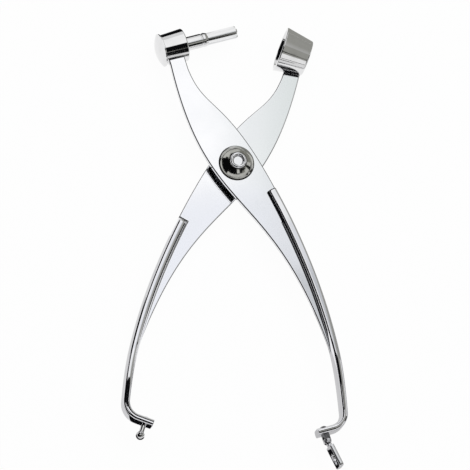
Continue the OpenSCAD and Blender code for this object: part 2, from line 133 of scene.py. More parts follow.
# Points just past a rounding keep flats flat: how far past, at most which share of a small rounding, and at a rim
GUARD, GUARD_SHARE, RIM_GUARD = 0.04, 0.2, 0.06
# Where the mitre of a sharp corner is cut off, the angle from which an edge stays sharp, and the metres welded
MITRE_LEAST, SHARP_ANGLE, WELD = 0.15, 44, 1e-7
# How much rougher the metal is where the edge mark is 1
EDGE_DULL = 0.2


def linear(text):
    """sRGB hex text as linear RGBA: the standard curve, a straight foot and a 2.4 power."""
    c = np.array([int(text[i:i + 2], 16) for i in (1, 3, 5)]) / 255
    c = np.where(c <= 0.04045, c / 12.92, ((c + 0.055) / 1.055) ** 2.4)
    return (*c.tolist(), 1.0)


# ---- curves
def way(degrees):
    """Unit vector in the plane of the tool at that angle from +X."""
    a = np.radians(degrees)
    return np.stack([np.cos(a), np.sin(a)], -1)


def whole_turn(steps):
    """Angles round a whole turn, in radians."""
    return np.linspace(0, 2 * math.pi, steps, endpoint=False)


def bezier(points, t):
    """Cubic curve through its two end points, drawn by its two middle ones."""
    p, t = np.asarray(points, float), np.asarray(t, float)[..., None]
    return (1 - t) ** 3 * p[0] + 3 * (1 - t) ** 2 * t * p[1] + 3 * (1 - t) * t * t * p[2] + t ** 3 * p[3]


def bezier_way(points, t):
    """Direction of travel on that curve, in degrees: the angle of its derivative."""
    p, t = np.asarray(points, float), np.asarray(t, float)[..., None]
    d = (1 - t) ** 2 * (p[1] - p[0]) + 2 * (1 - t) * t * (p[2] - p[1]) + t * t * (p[3] - p[2])
    return np.degrees(np.arctan2(d[..., 1], d[..., 0]))


def ease(f):
    """Smooth step from 0 to 1."""
    f = np.clip(f, 0, 1)
    return f * f * (3 - 2 * f)


def head_pt(s, r):
    """Point of the head's plane, s along the plunger's line and r from it towards the pivot."""
    return (JAW_REACH - r) * way(HEAD_ANGLE + 90) + s * way(HEAD_ANGLE)


def rounded(corners, radii, steps=6, guard=GUARD):
    """Polyline whose corners are arcs tangent to both sides; a guard point just past each arc keeps flats flat."""
    p = np.asarray(corners, float)
    line = []
    for i in range(len(p)):
        a, b, c, r = p[i - 1], p[i], p[(i + 1) % len(p)], radii[i]
        if r <= 0:
            line.append(b[None])
            continue
        u, v = (a - b) / np.linalg.norm(a - b), (c - b) / np.linalg.norm(c - b)
        half = math.acos(np.clip(u @ v, -1, 1)) / 2
        reach = r / math.tan(half)
        centre = b + (u + v) / np.linalg.norm(u + v) * r / math.sin(half)
        q0, q1 = b + u * reach - centre, b + v * reach - centre
        f = np.linspace(0, 1, steps + 1)[:, None]
        turn = math.pi - 2 * half
        arc = centre + (np.sin((1 - f) * turn) * q0 + np.sin(f * turn) * q1) / math.sin(turn)
        line += [arc[:1] + u * guard, arc, arc[-1:] + v * guard]
    return np.concatenate(line)


GRIP_TOP = np.array([HANDLE_SPREAD, -HANDLE_DROP])
GRIP_SPAN = np.linalg.norm(GRIP_TOP - SHOULDER)
GRIP = np.array([SHOULDER, SHOULDER + GRIP_PULL[0] * GRIP_SPAN * way(SHOULDER_A),
                 GRIP_TOP - GRIP_PULL[1] * GRIP_SPAN * way(BEND_A), GRIP_TOP])
BEND_C = GRIP_TOP + BEND_R * way(BEND_A - 90)
FOOT_TOP = BEND_C + BEND_R * way(FOOT_A + 90)
PLATE_T_END = RIDGE_T + RIDGE_END + (1 - RIDGE_T - RIDGE_END) * PLATE_STEP / GRIP_STEPS
STAND_PT = FOOT_TOP + STAND * way(FOOT_A)
PIN_PT = STAND_PT + PIN_DROP * way(FOOT_A + 90)


def rail_thick(t):
    """The rail thins from its top to its foot, more towards the foot."""
    return RAIL_TOP_T + (RAIL_FOOT_T - RAIL_TOP_T) * t * t


def rail_inner(t):
    """Inner line of the rail: the outer curve moved in by the rail's thickness."""
    return bezier(GRIP, t) + rail_thick(t)[:, None] * way(bezier_way(GRIP, t) - 90)


# ---- frames: origin and three axes, in the front lever's frame
def stand_frame(origin, direction):
    """Frame on the tool's plane whose third axis points along that direction."""
    d = way(direction)
    return np.array([[*origin, 0], [0, 0, -1], [-d[1], d[0], 0], [d[0], d[1], 0]], float)


HEAD = stand_frame(JAW_REACH * way(HEAD_ANGLE + 90), HEAD_ANGLE)
FOOT = stand_frame(STAND_PT, FOOT_A + 90)
PIN = np.array([[*PIN_PT, 0], [*way(CATCH_ANGLE), 0], [*way(CATCH_ANGLE + 90), 0], [0, 0, 1]], float)


def placed(place, shell):
    """Shell of a frame, its points carried into the front lever's frame."""
    points, faces = shell
    return place[0] + np.asarray(points, float) @ place[1:], faces


# ---- surfaces
def grid_faces(rows, cols, close_rows=False, start=0):
    """Quads of a grid of points that closes round its columns, and round its rows if asked."""
    r = np.arange(rows if close_rows else rows - 1)[:, None]
    c = np.arange(cols)[None, :]
    n, m = (c + 1) % cols, (r + 1) % rows
    return (start + np.stack([r * cols + c, r * cols + n, m * cols + n, m * cols + c], -1)).reshape(-1, 4).tolist()


def turned(profile, closed=False, steps=96):
    """Surface of revolution: radius and height of the profile, carried round the frame's third axis."""
    p = np.asarray(profile, float)
    a = whole_turn(steps)
    x, y = p[:, :1] * np.cos(a), p[:, :1] * np.sin(a)
    z = np.repeat(p[:, 1:], steps, 1)
    return np.stack([x, y, z], -1).reshape(-1, 3), grid_faces(len(p), steps, closed)


def capped_tube(rings):
    """Closed tube through a stack of rings, with a flat face at each end."""
    rows, cols = rings.shape[:2]
    faces = grid_faces(rows, cols)
    faces += [list(range(cols)), list(range((rows - 1) * cols, rows * cols))]
    return rings.reshape(-1, 3), faces


def sheet(outline, holes, low, high, edge, taper, wall=()):
    """Stamped sheet: an edge profile, a quarter round above and below, carried round the outline, then two flat faces.
    A point moves in along the mitre of its two sides, times taper, which thins the rounding where the sheet runs out.
    The wall has a ring of points at each height of its list, from the top down."""
    p = np.asarray(outline, float)
    back, ahead = p - np.roll(p, 1, 0), np.roll(p, -1, 0) - p
    n0, n1 = (np.stack([-v[:, 1], v[:, 0]], -1) / np.linalg.norm(v, axis=1, keepdims=True) for v in (back, ahead))
    area = 0.5 * np.sum(p[:, 0] * np.roll(p[:, 1], -1) - p[:, 1] * np.roll(p[:, 0], -1))
    mitre = (n0 + n1) / np.maximum(1 + np.sum(n0 * n1, 1, keepdims=True), MITRE_LEAST) * math.copysign(1, area)
    a = np.radians(np.linspace(0, 90, 6))
    rim = [edge + RIM_GUARD]
    inset = np.concatenate([rim, edge - edge * np.sin(a), np.zeros(len(wall)), edge - edge * np.cos(a), rim])
    z = np.concatenate([[high], high - edge + edge * np.cos(a), wall, low + edge - edge * np.sin(a), [low]])
    ring = p[None] + inset[:, None, None] * mitre[None] * np.asarray(taper)[None, :, None]
    body = np.concatenate([ring, np.repeat(z[:, None], len(p), 1)[..., None]], -1)
    rows, cols = body.shape[:2]
    points, faces = [body.reshape(-1, 3)], grid_faces(rows, cols)
    loops = {high: [np.arange(cols)], low: [np.arange(cols) + (rows - 1) * cols]}
    total = rows * cols
    for hole in holes:
        h = np.asarray(hole, float)
        points.append(np.concatenate([np.c_[h, np.full(len(h), high)], np.c_[h, np.full(len(h), low)]]))
        faces += grid_faces(2, len(h), start=total)
        loops[high].append(total + np.arange(len(h)))
        loops[low].append(total + len(h) + np.arange(len(h)))
        total += 2 * len(h)
    points = np.concatenate(points)
    for loop in loops.values():
        index = np.concatenate(loop)
        flat = tessellate_polygon([[Vector((*points[k, :2], 0)) for k in part] for part in loop])
        faces += index[np.array(flat)].tolist()
    return points, faces


def circle(centre, r, steps=48):
    """Points round a circle."""
    return np.asarray(centre, float) + r * way(np.linspace(0, 360, steps, endpoint=False))


def joined(*shells):
    """Several shells as one list of points and faces."""
    points, faces, total = [], [], 0
    for p, f in shells:
        points.append(np.asarray(p))
        faces += [[k + total for k in face] for face in f]
        total += len(p)
    return np.concatenate(points), faces


def put(name, data):
    """New object of that data, in the scene."""
    obj = bpy.data.objects.new(name, data)
    bpy.context.scene.collection.objects.link(obj)
    return obj


def piece(name, shell, body, nodes, finish, back=False, marks=None):
    """Puts a shell into the row frame, in metres, as one object that rides on a body and stands for CAD nodes.
    The back lever is the front one turned half round about Y, so its points swap the signs of X and Z."""
    points, faces = shell
    turn = np.array([-1, 1, -1]) if back else np.ones(3)
    world = (points * turn + [0, 0, MID_Z]) * MM
    mesh = bpy.data.meshes.new(name)
    mesh.from_pydata(world.tolist(), [], faces)
    if marks is not None:
        mesh.attributes.new("edge", "FLOAT", "POINT").data.foreach_set("value", np.asarray(marks, np.float32))
    bm = bmesh.new()
    bm.from_mesh(mesh)
    bmesh.ops.remove_doubles(bm, verts=bm.verts, dist=WELD)
    bmesh.ops.recalc_face_normals(bm, faces=bm.faces)
    bm.to_mesh(mesh)
    bm.free()
    mesh.shade_smooth()
    mesh.set_sharp_from_angle(angle=math.radians(SHARP_ANGLE))
    mesh.materials.append(finishes()[finish])
    obj = put(name, mesh)
    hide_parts(*nodes)
    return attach(obj, body) if body else obj


def refinish(names, finish):
    """Gives one finish to CAD nodes that show as they are packed."""
    for name in names:
        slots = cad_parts[name].data.materials
        slots.clear()
        slots.append(finishes()[finish])


# ---- materials
def add(tree, kind, settings=None, values=None, links=None):
    """Adds one shader node with its settings, its socket values and its links from other sockets."""
    n = tree.nodes.new("ShaderNode" + kind)
    for key, value in (settings or {}).items():
        setattr(n, key, value)
    for key, value in (values or {}).items():
        n.inputs[key].default_value = value
    for key, source in (links or {}).items():
        tree.links.new(source, n.inputs[key])
    return n


def new_material(name):
    """Empty node material with its output."""
    mat = bpy.data.materials.new(name)
    mat.use_nodes = True
    mat.node_tree.nodes.clear()
    return mat, mat.node_tree, add(mat.node_tree, "OutputMaterial")


def polish(tree, rough, cloud_mm, line_mm, line_way, bump_mm, blotch, stretch, strength):
    """Sockets of the clouds, roughness and normal of polished metal. Clouds, cloud_mm across and broken up by blotch,
    move the roughness between two values; fine lines, line_mm apart and drawn long along one way, give the bump."""
    place = {"Vector": add(tree, "TexCoord").outputs["Object"]}
    size = {"Scale": 1 / (cloud_mm * MM), "Detail": 3.0, "Roughness": blotch}
    cloud = add(tree, "TexNoise", None, size, place).outputs["Fac"]
    turn = {"Rotation": (0, 0, math.radians(line_way)), "Scale": (stretch, 1, 1)}
    along = {"Vector": add(tree, "Mapping", None, turn, place).outputs["Vector"]}
    lines = add(tree, "TexNoise", None, {"Scale": 1 / (line_mm * MM), "Detail": 2.0}, along)
    span = {"From Min": 0.3, "From Max": 0.7, "To Min": rough[0], "To Max": rough[1]}
    soft = add(tree, "MapRange", None, span, {"Value": cloud})
    depth = {"Strength": strength, "Distance": bump_mm * MM}
    relief = add(tree, "Bump", None, depth, {"Height": lines.outputs["Fac"]})
    return cloud, soft.outputs["Result"], relief.outputs["Normal"]


def blended(tree, values, links):
    """Socket of a mix of two colours, inputs 6 and 7, by the factor at input 0."""
    return add(tree, "Mix", {"data_type": "RGBA"}, values, links).outputs[2]


def metal_skin(tree, out, tint, rough, normal):
    """Bare metal with those sockets, as the material's surface."""
    skin = add(tree, "BsdfPrincipled", None, {"Metallic": 1.0},
               {"Base Color": tint, "Roughness": rough, "Normal": normal})
    tree.links.new(skin.outputs["BSDF"], out.inputs["Surface"])


def plated(name, bright, dull, rough, cloud_mm, line_mm, line_way, bump_mm):
    """Plated or drawn metal: polished metal whose clouds move its colour from bright to dull."""
    _, tree, out = new_material(name)
    cloud, soft, normal = polish(tree, rough, cloud_mm, line_mm, line_way, bump_mm,
                                 blotch=0.55, stretch=0.06, strength=0.35)
    metal_skin(tree, out, blended(tree, {6: bright, 7: dull}, {0: cloud}), soft, normal)


def plated_with_painted_shade(name, bright, dull, wall, rough, cloud_mm):
    """Pressed, plated metal: plated faces; duller and in the wall colour, a painted shade, where the edge mark is 1."""
    _, tree, out = new_material(name)
    cloud, soft, normal = polish(tree, rough, cloud_mm, line_mm=0.6, line_way=25, bump_mm=0.002,
                                 blotch=0.5, stretch=0.05, strength=0.25)
    mark = add(tree, "Attribute", {"attribute_name": "edge"}).outputs["Fac"]
    face = blended(tree, {6: bright, 7: dull}, {0: cloud})
    duller = add(tree, "Math", {"operation": "MULTIPLY_ADD"}, {1: EDGE_DULL}, {0: mark, 2: soft})
    # The wall colour replaces the face colour where the mark is 1: painted shade
    metal_skin(tree, out, blended(tree, {7: wall}, {0: mark, 6: face}), duller.outputs["Value"], normal)


def finishes():
    """All the finishes by name, made on first use."""
    look = bpy.context.scene.pitter_finish
    made = bpy.data.materials
    if "chrome_plated_sheet_steel" not in made:
        # Stamped sheet, polished and chrome plated: white, near-flat mirror, faint polishing lines, painted shade at
        # edges
        plated_with_painted_shade("chrome_plated_sheet_steel", look.sheet_bright, look.sheet_dull, look.painted_edge_shade, (0.05, 0.11), 14)
        # Pressed rail, polished after plating: brightest mirror on the tool, painted shade at its upper end and ridge
        # start
        plated_with_painted_shade("chrome_plated_rail", look.rail_bright, look.rail_dull, look.painted_crevice_shade, (0.03, 0.07), 9)
        # Turned brass, chrome plated: clear mirror whose turning marks blur it a little
        plated("chrome_plated_turned_brass", look.turned_bright, look.turned_dull, (0.03, 0.08), 4, 0.3, 17.5, 0.002)
        # Pressed dome washers, nickel plated: a neutral, slightly darker mirror, painted shade in the hollows at foot
        # and ring
        plated_with_painted_shade("nickel_plated_washer", look.washer_bright, look.washer_dull, look.painted_crevice_shade, (0.1, 0.16), 3)
        # Turned steel pin, left bright: a light dot on the dark bracket
        plated("bright_steel_pin", look.pin_bright, look.pin_dull, (0.14, 0.24), 1, 0.2, 0, 0.002)
        # Drawn spring wire: grey, with die lines along it
        plated("drawn_spring_steel", look.wire_bright, look.wire_dull, (0.25, 0.4), 2, 0.15, 0, 0.004)
        # Folded steel bracket, zinc plated and handled: dull and dark
        plated("dull_zinc_steel", look.bracket_bright, look.bracket_dull, (0.3, 0.45), 1.5, 0.2, 30, 0.004)
    return made


# ---- properties
def colour(name, description, text):
    """Colour property whose default is that sRGB hex value."""
    return bpy.props.FloatVectorProperty(name=name, description=description, subtype="COLOR", size=4, min=0, max=1,
                                         default=linear(text))


def length(name, description, default, low, high):
    """Length property that is given in millimetres."""
    return bpy.props.FloatProperty(name=name, description=description, unit="LENGTH", default=default * MM,
                                   min=low * MM, max=high * MM)


class PitterFinish(bpy.types.PropertyGroup):
    """Colours of the tool's metals."""
    sheet_bright: colour("Sheet, bright", "Polished faces of the lever plates", "#fafafc")
    sheet_dull: colour("Sheet, dull", "Less polished patches", "#f1f2f5")
    # Painted shade: dark colour laid on the plates' walls and down their rounded edges
    painted_edge_shade: colour("Cut edge", "Sheared walls of the lever plates", "#36373a")
    rail_bright: colour("Rail, bright", "Crown of the grip rails", "#f4f4f6")
    rail_dull: colour("Rail, dull", "Less polished patches", "#e4e4e8")
    turned_bright: colour("Turned metal, bright", "Boss, cup and plunger", "#efeff0")
    turned_dull: colour("Turned metal, dull", "Less polished patches", "#dcdcdc")
    washer_bright: colour("Washer, bright", "Dome washers", "#cbcbc6")
    washer_dull: colour("Washer, dull", "Less polished patches", "#b0b0aa")
    # Painted shade: dark colour in the washers' hollows and the rails' upper corners
    painted_crevice_shade: colour("Crevice", "Foot and land of the dome washers, corner at the rails' upper ends", "#2a2826")
    pin_bright: colour("Pin, bright", "Catch pin", "#e2e2e4")
    pin_dull: colour("Pin, dull", "Less polished patches", "#c6c6ca")
    wire_bright: colour("Wire, bright", "Return spring", "#a8a9ad")
    wire_dull: colour("Wire, dull", "Return spring between its die lines", "#87888c")
    bracket_bright: colour("Bracket, bright", "Catch bracket and hidden steel", "#8a8a8c")
    bracket_dull: colour("Bracket, dull", "Worn patches of the catch bracket", "#616164")


class PitterSizes(bpy.types.PropertyGroup):
    """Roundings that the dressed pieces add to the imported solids."""
    sheet_edge: length("Sheet edge", "Rounding of the lever plates' edges", 0.36, 0.05, 0.6)
    turned_edge: length("Turned edge", "Rounding of the turned pieces' edges", 0.37, 0.05, 0.45)
    fin_edge: length("Fin edge", "Bevel at the plunger's tip", 0.5, 0.1, 0.6)


class PitterStage(bpy.types.PropertyGroup):
    """Camera and studio."""
    aim: bpy.props.FloatVectorProperty(name="Aim", description="Point at the middle of the picture", subtype="XYZ",
                                       unit="LENGTH", default=(0.0003, -0.0273, 0.0087))
    frame_width: bpy.props.FloatProperty(name="Frame width", description="Width of the picture at the aim",
                                         unit="LENGTH", default=0.1786)
    lens: bpy.props.FloatProperty(name="Lens", description="Focal length, in millimetres", default=1000.0, min=20)


# ---- the lever plates and rails
def lever_outline(tongue_out, tongue_in):
    """Outline of a lever plate: head tongue, inner edge, inner line of the rail, step out where the ridge starts, and
    outer edge."""
    inner = [head_pt(-NECK_OUT, NECK_LOW), *(WAIST * INNER_PULL), rail_inner(np.array([PLATE_T_END]))[0]]
    start = head_pt(-NECK_IN, NECK_DEEP)
    outer = [start, start + OUTER_PULL[0] * JAW_REACH * way(NECK_A),
             SHOULDER - OUTER_PULL[1] * JAW_REACH * way(SHOULDER_A), SHOULDER]
    step = RIDGE_T - STEP_T
    return np.concatenate([
        head_pt(-NECK_OUT, tongue_out)[None],
        bezier(inner, np.linspace(0, 1, 120)),
        rail_inner(np.linspace(PLATE_T_END, step, 80)[1:]),
        bezier(GRIP, np.linspace(step, 0, 24)[:-1]),
        bezier(outer, np.linspace(1, 0, 90)),
        head_pt(-NECK_IN, tongue_in)[None]])


def lever_sheet(tongue_out, tongue_in, rivet_hole, tip_hole, edge, onset):
    """Lever plate as a stamped sheet, with its rivet hole and the hole of the spring's end. Its edge mark lays painted
    shade:
    it is 1 on the wall, apart from a painted highlight band in its middle, and grows down the rounded edge by onset."""
    line = lever_outline(tongue_out, tongue_in)
    tip = rail_inner(np.array([PLATE_T_END]))[0]
    taper = np.clip(np.linalg.norm(line - tip, axis=1) / TAPER_LEN, TAPER_LEAST, 1)
    holes = [circle((0, 0), rivet_hole), circle(tip_hole, WIRE_D / 2 + TIP_FIT, 24)]
    points, faces = sheet(line, holes, FACE_IN, FACE_OUT, edge, taper, PLATE_MID + PAINTED_WALL_HIGHLIGHT)
    z = points[:, 2]
    depth = np.minimum(z - FACE_IN, FACE_OUT - z) / edge
    # A painted highlight band round the wall's middle; painted shade outside it and down the rounded edge
    outside_highlight = np.clip((np.abs(z - PLATE_MID) - PAINTED_WALL_HIGHLIGHT[1]) / (PAINTED_WALL_HIGHLIGHT[0] - PAINTED_WALL_HIGHLIGHT[1]), 0, 1)
    return (points, faces), np.clip(depth * onset - ONSET_FROM, 0, 1) * outside_highlight


def rail_rings(t, p, a):
    """Rings of the rail: a box with four rounded corners. Before RIDGE_T it is only a lip on the plate, after it a
    ridge grows below the plate. The lip's inner wall leans out from the plate's face upwards."""
    b = rail_thick(t)
    lip_only = t < RIDGE_T
    back = PLATE_MID * ease((t - PLATE_T_END) / (1 - PLATE_T_END))
    rise = LIP * (LIP_START + (1 - LIP_START) * ease(t / RAMP_T))
    q = np.clip((t - RIDGE_T) / RIDGE_END, 0, 1)
    drop = RIDGE_START + (LIP - RIDGE_START) * np.sqrt(1 - (1 - q) ** 2)
    hi, lo = FACE_OUT + rise - back, np.where(lip_only, FACE_OUT, FACE_IN - drop - back)
    lean = np.where(lip_only, FACE_OUT + 1.5 * RIDGE_START, FACE_OUT - 0.8 * back)
    top = b * (1 - LIP_LEAN)
    r_hi = np.minimum(np.minimum(RAIL_EDGE_R, rise - 2 * RIDGE_START), 0.4 * b)
    r_crown = r_hi + (CROWN_R * b - r_hi) * ease((t - CROWN_FROM) / (CROWN_TO - CROWN_FROM))
    r_out = np.minimum(drop, RIDGE_OUTER * b)
    r_in = np.minimum(drop, np.where(lip_only, RIDGE_START, RIDGE_INNER * b))
    cut = []
    for cx, cy, r, a0 in ((top - r_hi, hi - r_hi, r_hi, 0), (r_crown, hi - r_crown, r_crown, 90),
                          (r_out, lo + r_out, r_out, 180), (b - r_in, lo + r_in, r_in, 270)):
        arc = np.stack([cx, cy], -1)[:, None] + r[:, None, None] * way(np.linspace(a0, a0 + 90, 9))[None]
        past = np.minimum(GUARD, r * GUARD_SHARE)[:, None, None]
        first, last = arc[:, :1] - past * way(a0 + 90), arc[:, -1:] + past * way(a0 + 180)
        cut += [arc, last] if a0 == 0 else [first, arc] if a0 == 270 else [first, arc, last]
    cut = np.concatenate([*cut, np.stack([b, lean - 0.03], -1)[:, None], np.stack([b, lean], -1)[:, None]], 1)
    corner = RIDGE_ROUND * (1 - np.sqrt(1 - (1 - np.minimum(q / RIDGE_MARK, 1)) ** 2))
    cut[..., 0] -= corner[:, None] * ((cut[..., 0] > b[:, None] / 2) & (cut[..., 1] < RIDGE_BELOW))
    flat = p[:, None] + (cut[..., :1] + SKIN) * way(a - 90)[:, None]
    return np.concatenate([flat, cut[..., 1:]], -1)


def rail_shell():
    """Rail carried along its curve, round the bend and out along the foot, with a rounded upper end and a bevel at the
    foot's end. Its edge mark, which lays painted shade, is 1 at the upper end and where the ridge starts."""
    turn = np.linspace(90, 0, 8)
    inset = 1 - np.cos(np.radians(turn))
    t = np.concatenate([END_T * (1 - np.sin(np.radians(turn))), np.linspace(END_T, RIDGE_T - STEP_T, 25)[1:],
                        RIDGE_T + RIDGE_END * (1 - np.cos(np.linspace(0, math.pi / 2, 16, endpoint=False))),
                        np.linspace(RIDGE_T + RIDGE_END, 1, 110)])
    p, a = bezier(GRIP, t), bezier_way(GRIP, t)
    bend = np.linspace(BEND_A, FOOT_A, 41)[1:]
    foot = np.concatenate([[0.05], np.linspace(0.4, FOOT_LEN - 0.3, 6), [FOOT_LEN - FOOT_BEVEL]])
    t = np.concatenate([t, np.ones(len(bend) + len(foot))])
    p = np.concatenate([p, BEND_C + BEND_R * way(bend + 90), FOOT_TOP + foot[:, None] * way(FOOT_A)])
    a = np.concatenate([a, bend, np.full(len(foot), FOOT_A)])
    rings = rail_rings(t, p, a)
    upper, n = rings[:len(turn)], len(turn)
    spine = (p[:n] + RAIL_TOP_T / 2 * way(a[:n] - 90))[:, None]
    narrow, low = 1 - END_ACROSS * inset / (RAIL_TOP_T / 2), 1 - END_DOWN * inset / (LIP * LIP_START)
    upper[..., :2] = spine + (upper[..., :2] - spine) * narrow[:, None, None]
    upper[..., 2] = FACE_OUT + (upper[..., 2] - FACE_OUT) * low[:, None]
    q = np.clip((t - RIDGE_T) / RIDGE_END, 0, 1)[:, None]
    # Painted shade: the mark darkens the ridge's start and, below, the rounded upper end
    marks = np.clip((RIDGE_MARK - q) / RIDGE_FADE, 0, 1) * (rings[..., 2] < RIDGE_BELOW)
    marks[:n] = np.clip((turn - END_BRIGHT) / END_FADE, 0, 1)[:, None]
    last, step = rings[-1], np.append(way(FOOT_A), 0)
    middle = last.mean(0)
    ends = [last + step * FOOT_BEVEL * math.sin(x) + (middle - last) * FOOT_BEVEL * (1 - math.cos(x)) / FOOT_HALF
            for x in np.radians(np.linspace(0, 90, 6))[1:]]
    ends.append(ends[-1] + (middle - ends[-1]) * RIM_GUARD)
    marks = np.concatenate([marks, np.zeros((len(ends), marks.shape[1]))])
    return capped_tube(np.concatenate([rings, np.array(ends)])), marks.ravel()


class PITTER_OT_levers(bpy.types.Operator):
    """Makes the two stamped lever plates and their grip rails"""
    bl_idname = "pitter.levers"
    bl_label = "Levers"

    def execute(self, context):
        edge = context.scene.pitter_sizes.sheet_edge / MM
        steel, bright = "chrome_plated_sheet_steel", "chrome_plated_rail"
        front_tip = COIL_R * way(SPRING_TO) + TIP_BEND * way(SPRING_TO + 90)
        back_tip = (COIL_R * way(SPRING_FROM) - TIP_BEND * way(SPRING_FROM + 90)) * [-1, 1]
        tongue = BOSS_END_D / 2 - BOSS_SINK
        cup_at = lambda s: MOUTH_D / 2 + (CUP_END_D - MOUTH_D) / 2 * (-CUP_FACE - s) / CUP_LEN - CUP_SINK
        shell, marks = lever_sheet(tongue, tongue, RIVET_D / 2 + RUN_FIT, front_tip, edge, FRONT_ONSET)
        piece("front_lever_sheet", shell, "plunger_lever", ["front_lever_plate"], steel, False, marks)
        shell, marks = lever_sheet(cup_at(-NECK_OUT), cup_at(-NECK_IN), RIVET_D / 2, back_tip, edge, BACK_ONSET)
        piece("back_lever_sheet", shell, "cup_lever", ["back_lever_plate"], steel, True, marks)
        shell, marks = rail_shell()
        piece("front_rail_bead", shell, "plunger_lever", ["front_grip_rail"], bright, False, marks)
        piece("back_rail_bead", shell, "cup_lever", ["back_grip_rail"], bright, True, marks)
        return {"FINISHED"}


# ---- the heads
class PITTER_OT_cup(bpy.types.Operator):
    """Makes the conical cup, with a rolled rim and a rounded small end"""
    bl_idname = "pitter.cup"
    bl_label = "Cup"

    def execute(self, context):
        e = context.scene.pitter_sizes.turned_edge / MM
        mouth, end, throat = MOUTH_D / 2, CUP_END_D / 2, THROAT_D / 2
        line = rounded([[throat, CUP_END], [end, CUP_END], [mouth, -CUP_FACE], [mouth - RIM_T, -CUP_FACE],
                        [throat, CUP_END + THROAT_LEN]], [e, 2 * e, e, e, 3 * e])
        piece("turned_cherry_cup", placed(HEAD, turned(line, True)), "cup_lever", ["cherry_cup"],
              "chrome_plated_turned_brass", True)
        return {"FINISHED"}


def plunger_rings():
    """Plunger: round tail, then a cross of two fins. The cross in polar form is the larger of two bars, each cut by the
    circle of the rod; along the axis the tail's circle gives way to the cross inside the collar."""
    a = whole_turn(240)
    r, half, bevel = ROD_D / 2, FIN_T / 2, bpy.context.scene.pitter_sizes.fin_edge / MM
    bar = lambda c, reach: np.minimum(reach, half / np.maximum(np.abs(c), 1e-6))
    cross = lambda reach: np.maximum(bar(np.sin(a), reach), bar(np.cos(a), reach))
    tail, foot, tip = np.full(len(a), TAIL_R), BOSS_END + SPIGOT_H, COLLAR_END + ROD_LEN
    stack = ((foot, tail - 0.05), (foot + 0.05, tail), (COLLAR_END - 0.06, tail),
             (COLLAR_END - 0.05, np.minimum(cross(r), TAIL_R)), (COLLAR_END + 0.05, cross(r)),
             (tip - bevel - 0.05, cross(r)), (tip - bevel, cross(r)), (tip - bevel / 3, cross(r - bevel * 0.45)),
             (tip, cross(r - bevel)))
    return np.stack([np.stack([row * np.cos(a), row * np.sin(a), np.full(len(a), s)], -1) for s, row in stack])


class PITTER_OT_plunger(bpy.types.Operator):
    """Makes the boss with its cap, the collar and the finned plunger"""
    bl_idname = "pitter.plunger"
    bl_label = "Plunger"

    def execute(self, context):
        e = context.scene.pitter_sizes.turned_edge / MM
        boss = lambda name, shell, node: piece(name, placed(HEAD, shell), "plunger_lever", [node],
                                               "chrome_plated_turned_brass")
        well = BOSS_END + SPIGOT_H + NUT_H
        line = rounded([[TAIL_R, -BOSS_FACE], [TAIL_R, well], [WELL_R, well], [WELL_R, BOSS_END],
                        [BOSS_END_D / 2, BOSS_END], [BOSS_D / 2, -BOSS_FACE]], [0, 0, 0, 0, 0.1, e])
        boss("turned_plunger_boss", turned(line, True), "plunger_boss")
        r, rim = CAP_D / 2, BOSS_END - CAP_RIM
        ball = (r * r + CAP_H * CAP_H) / (2 * CAP_H)
        a = np.linspace(math.asin(r / ball) - 0.02, 0, 24)
        dome = np.stack([ball * np.sin(a), rim - CAP_H + ball * (1 - np.cos(a))], -1)
        edge = rounded([[WELL_R, BOSS_END], [r, BOSS_END], [r, rim], dome[0]], [0, 0.15, 0, 0])[:-1]
        line = np.concatenate([[[0, BOSS_END + SPIGOT_H], [WELL_R, BOSS_END + SPIGOT_H]], edge, dome])
        boss("domed_boss_cap", turned(line), "boss_cap")
        c, top = COLLAR_D / 2, COLLAR_END
        neck, low = c - GROOVE_DEPTH, top - CHAMFER - GROOVE_DROP
        line = rounded([[TAIL_R, -BOSS_FACE], [c, -BOSS_FACE], [c, low], [neck, low], [neck, low + GROOVE_W],
                        [c, low + GROOVE_W], [c, top - CHAMFER], [ROD_D / 2, top], [TAIL_R, top]],
                       [0, 0.15, 0.1, 0.08, 0.08, 0.1, 0.3, 0.12, 0], 4, GUARD / 2)
        boss("grooved_plunger_collar", turned(line, True), "plunger_collar")
        boss("finned_plunger_rod", capped_tube(plunger_rings()), "plunger_rod")
        return {"FINISHED"}


# ---- the pivot
def dome_line():
    """Profile of a dome washer: two arcs of one sphere, a wall apart, from its foot to the land under the ring."""
    r, h = WASHER_D / 2, WASHER_H
    land, land_in = RING_HOLE_R + 2 * RING_R + LAND_PAST, RIVET_D / 2
    z = (land * land + h * h - r * r) / (2 * h)
    ball = math.hypot(r, z)
    a = np.linspace(math.atan2(-z, r), math.atan2(h - z, land), 40)
    outer = np.stack([ball * np.cos(a), z + ball * np.sin(a)], -1)
    hollow = ball - DOME_WALL
    b = np.linspace(math.asin((h - z) / ball) * 0.92, math.asin(-z / hollow), 30)
    inner = np.stack([hollow * np.cos(b), z + hollow * np.sin(b)], -1)
    inner = inner[inner[:, 0] > land_in + 0.05]
    bore = [[land - 0.1, h], [land_in + 0.1, h], [land_in, h - 0.08], [land_in, inner[0, 1]]]
    return np.concatenate([outer, bore, inner])


def rivet_line():
    """Profile of the rivet: flat back head, shank, and a rolled ring round a shallow hole."""
    low, top = -FACE_OUT - WASHER_H, FACE_OUT + AXIAL_PLAY + WASHER_H
    mid, deep, shank = RING_HOLE_R + RING_R, top - RING_HOLE_DEPTH, RIVET_D / 2
    head = rounded([[HEAD_FACE_R, -MID_Z], [HEAD_R, low], [0, low]], [0.3, 0.2, 0])[:-1]
    a = np.radians(np.linspace(0, 180, 33))
    ring = np.stack([mid + RING_R * np.cos(a), top + RING_R * np.sin(a)], -1)
    hole = rounded([[RING_HOLE_R, top], [RING_HOLE_R, deep], [0, deep]], [0, 0.25, 0])[1:-1]
    return np.concatenate([[[0, -MID_Z]], head, [[shank, low], [shank, top - 0.02]], ring, hole, [[0, deep]]])


